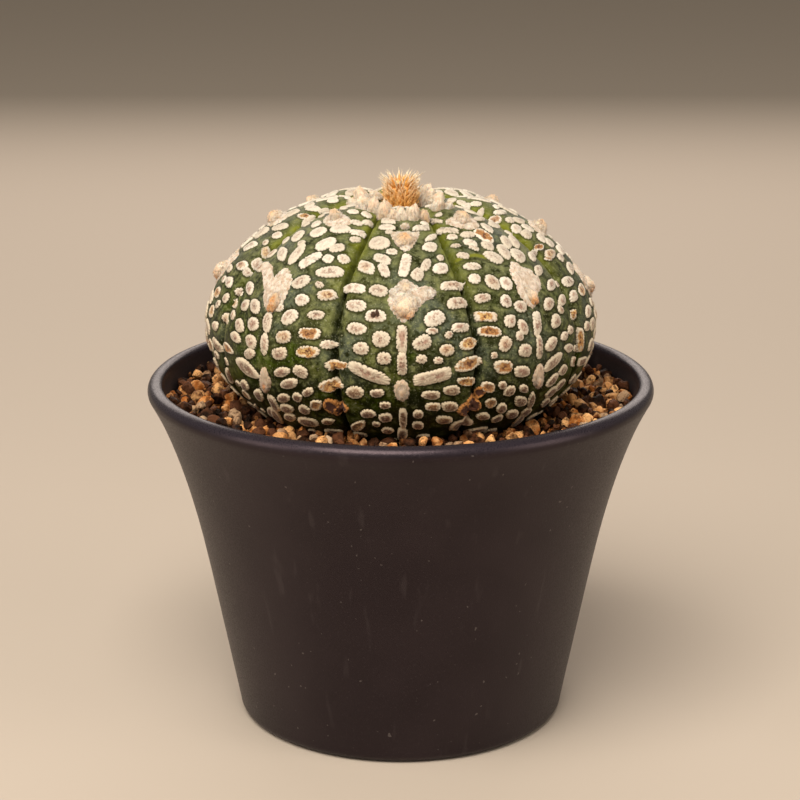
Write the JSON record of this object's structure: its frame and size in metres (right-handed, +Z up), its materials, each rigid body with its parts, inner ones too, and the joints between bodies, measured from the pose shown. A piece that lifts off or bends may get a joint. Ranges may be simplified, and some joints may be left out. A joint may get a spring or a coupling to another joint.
{
  "type": "potted star cactus",
  "caption": "Flattened, ribbed star cactus with white flecks, woolly areoles and a bristly bud in its crown, growing in gritty soil in a round dark plastic pot that stands on its foot ring.",
  "frame": {"origin": "on the surface the pot stands on, under the pot's centre", "axes": "+Z up along the pot's axis, -Y towards the side that faces the viewer, +X to the viewer's right"},
  "size_m": [0.13, 0.13, 0.1442],
  "materials": {
    "pot_plastic": "matte, dark brown-black",
    "soil_grit": "loose gritty mix of tan, rose and near-black grains",
    "cactus_skin": "grey-green waxy skin with raised cream-white flecks and felt",
    "bud_scales": "dry golden-brown scales with pale tips"
  },
  "bodies": {
    "root": {"pot": "pot_plastic", "soil": "soil_grit", "cactus_body": "cactus_skin", "flower_bud": "bud_scales"}
  },
  "joints": []
}
